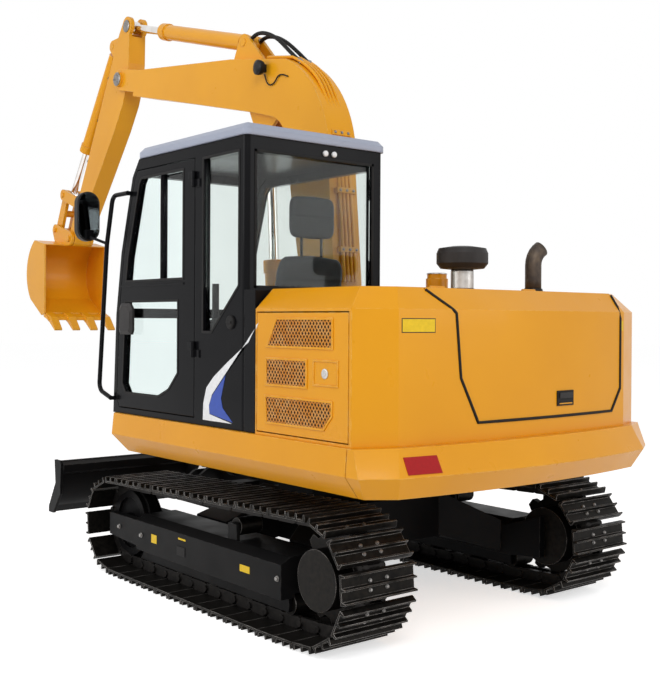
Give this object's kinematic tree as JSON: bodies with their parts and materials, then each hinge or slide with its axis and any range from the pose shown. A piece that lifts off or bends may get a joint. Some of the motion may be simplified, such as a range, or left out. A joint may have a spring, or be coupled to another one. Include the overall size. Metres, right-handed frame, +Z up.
{
  "type": "crawler excavator",
  "caption": "Crawler excavator with closed cab, dozer blade, slewing upper structure and a boom, arm and bucket moved by cylinders.",
  "frame": {"origin": "on the ground on the slewing axis", "axes": "+X forward towards blade and bucket, +Y to the operator's left, +Z up"},
  "size_m": [5.961, 2.295, 4.083],
  "materials": {
    "yellow_paint": "gloss enamel",
    "black_paint": "satin black",
    "track_steel": "worn dark steel",
    "chrome": "polished rod",
    "glass": "clear pale green",
    "roof_paint": "satin grey",
    "dark_plastic": "matt",
    "seat_vinyl": "vinyl",
    "exhaust_steel": "heat stained",
    "engine_grey": "cast"
  },
  "bodies": {
    "undercarriage": {"car_body": "black_paint", "track_frames": "black_paint", "track_left": "track_steel", "track_right": "track_steel", "sprockets": "track_steel", "idlers": "black_paint", "track_rollers": "track_steel", "swing_bearing": "black_paint"},
    "blade": {"blade": "black_paint"},
    "blade_barrel": {"blade_cylinder_barrel": "black_paint"},
    "blade_rod": {"blade_cylinder_rod": "chrome"},
    "upper": {"deck_frame": "yellow_paint", "counterweight": "yellow_paint", "engine_housing": "yellow_paint", "engine_block": "engine_grey", "right_housing": "yellow_paint", "cab_shell": "black_paint", "cab_glass": "glass", "windscreen": "glass", "cab_roof": "roof_paint", "operator_seat": "seat_vinyl", "consoles": "dark_plastic", "handrail": "black_paint", "mirror": "black_paint", "precleaner": "dark_plastic", "exhaust_pipe": "exhaust_steel", "filler_cap": "yellow_paint"},
    "cab_door": {"cab_door": "black_paint", "door_glass": "glass"},
    "rear_hood": {"rear_hood": "yellow_paint"},
    "left_engine_door": {"left_engine_door": "yellow_paint"},
    "right_engine_door": {"right_engine_door": "yellow_paint"},
    "boom": {"boom": "yellow_paint"},
    "boom_barrel": {"boom_cylinder_barrel": "yellow_paint"},
    "boom_rod": {"boom_cylinder_rod": "chrome"},
    "arm": {"arm": "yellow_paint"},
    "arm_barrel": {"arm_cylinder_barrel": "yellow_paint"},
    "arm_rod": {"arm_cylinder_rod": "chrome"},
    "bucket_barrel": {"bucket_cylinder_barrel": "yellow_paint"},
    "bucket_rod": {"bucket_cylinder_rod": "chrome"},
    "rocker": {"rocker_links": "yellow_paint"},
    "link": {"bucket_link": "yellow_paint"},
    "bucket": {"bucket": "yellow_paint"}
  },
  "joints": [
    {"name": "upper_swing", "type": "hinge", "parent": "undercarriage", "child": "upper", "pos_m": [0, 0, 0.785], "axis": [0, 0, 1], "continuous": true},
    {"name": "blade_lift", "type": "hinge", "parent": "undercarriage", "child": "blade", "pos_m": [0.56, 0, 0.395], "axis": [0, 1, 0], "range_deg": [-6, 27]},
    {"name": "blade_barrel_pivot", "type": "hinge", "parent": "undercarriage", "child": "blade_barrel", "pos_m": [0.47, 0, 0.61], "axis": [0, 1, 0], "range_deg": [-6, 26]},
    {"name": "blade_rod_slide", "type": "slide", "parent": "blade_barrel", "child": "blade_rod", "axis": [0.9981, 0, -0.0614], "range_m": [-0.03, 0.1]},
    {"name": "cab_door_hinge", "type": "hinge", "parent": "upper", "child": "cab_door", "pos_m": [0.064, 1.058, 1.75], "axis": [0, 0, 1], "range_deg": [0, 165]},
    {"name": "rear_hood_hinge", "type": "hinge", "parent": "upper", "child": "rear_hood", "pos_m": [-1.12, 0, 1.761], "axis": [0, 1, 0], "range_deg": [0, 60]},
    {"name": "left_engine_door_hinge", "type": "hinge", "parent": "upper", "child": "left_engine_door", "pos_m": [-0.549, 1.06, 1.33], "axis": [0, 0, 1], "range_deg": [-90, 0]},
    {"name": "right_engine_door_hinge", "type": "hinge", "parent": "upper", "child": "right_engine_door", "pos_m": [-0.549, -1.06, 1.33], "axis": [0, 0, 1], "range_deg": [0, 90]},
    {"name": "boom_lift", "type": "hinge", "parent": "upper", "child": "boom", "pos_m": [0.23, -0.09, 1.23], "axis": [0, 1, 0], "range_deg": [-10, 75]},
    {"name": "boom_barrel_pivot", "type": "hinge", "parent": "upper", "child": "boom_barrel", "pos_m": [0.83, -0.09, 0.94], "axis": [0, 1, 0], "range_deg": [-12, 86]},
    {"name": "boom_rod_slide", "type": "slide", "parent": "boom_barrel", "child": "boom_rod", "axis": [0.0669, 0, 0.9978], "range_m": [-0.79, 0.12]},
    {"name": "arm_swing", "type": "hinge", "parent": "boom", "child": "arm", "pos_m": [2.95, -0.09, 3.57], "axis": [0, -1, 0], "range_deg": [-60, 42]},
    {"name": "arm_barrel_pivot", "type": "hinge", "parent": "boom", "child": "arm_barrel", "pos_m": [1.19, -0.09, 3.53], "axis": [0, 1, 0], "range_deg": [-3.5, 5]},
    {"name": "arm_rod_slide", "type": "slide", "parent": "arm_barrel", "child": "arm_rod", "axis": [0.9633, 0, 0.2684], "range_m": [-0.28, 0.4]},
    {"name": "bucket_tilt", "type": "hinge", "parent": "arm", "child": "bucket", "pos_m": [3.92, -0.09, 2.315], "axis": [0, -1, 0], "range_deg": [-60, 60]},
    {"name": "bucket_barrel_pivot", "type": "hinge", "parent": "arm", "child": "bucket_barrel", "pos_m": [3.19, -0.09, 3.9], "axis": [0, 1, 0], "range_deg": [-7, 7]},
    {"name": "bucket_rod_slide", "type": "slide", "parent": "bucket_barrel", "child": "bucket_rod", "axis": [0.5934, 0, -0.8049], "range_m": [-0.29, 0.29]},
    {"name": "rocker_pivot", "type": "hinge", "parent": "arm", "child": "rocker", "pos_m": [3.772, -0.09, 2.622], "axis": [0, -1, 0], "range_deg": [-62, 62]},
    {"name": "link_pivot", "type": "hinge", "parent": "rocker", "child": "link", "pos_m": [4.06, -0.09, 2.72], "axis": [0, -1, 0], "range_deg": [-62, 62]}
  ],
  "couplings": [
    {"joint": "blade_barrel_pivot", "follows": "blade_lift", "ratio": 0.8937},
    {"joint": "blade_rod_slide", "follows": "blade_lift", "m_per_rad": 0.1893},
    {"joint": "boom_barrel_pivot", "follows": "boom_lift", "ratio": 1.12},
    {"joint": "boom_rod_slide", "follows": "boom_lift", "m_per_rad": -0.585},
    {"joint": "arm_barrel_pivot", "follows": "arm_swing", "ratio": -0.0724},
    {"joint": "arm_rod_slide", "follows": "arm_swing", "m_per_rad": -0.361},
    {"joint": "bucket_barrel_pivot", "follows": "bucket_tilt", "ratio": -0.0589},
    {"joint": "bucket_rod_slide", "follows": "bucket_tilt", "m_per_rad": -0.2702},
    {"joint": "rocker_pivot", "follows": "bucket_tilt", "ratio": 1.0017},
    {"joint": "link_pivot", "follows": "bucket_tilt", "ratio": -1.0105}
  ]
}
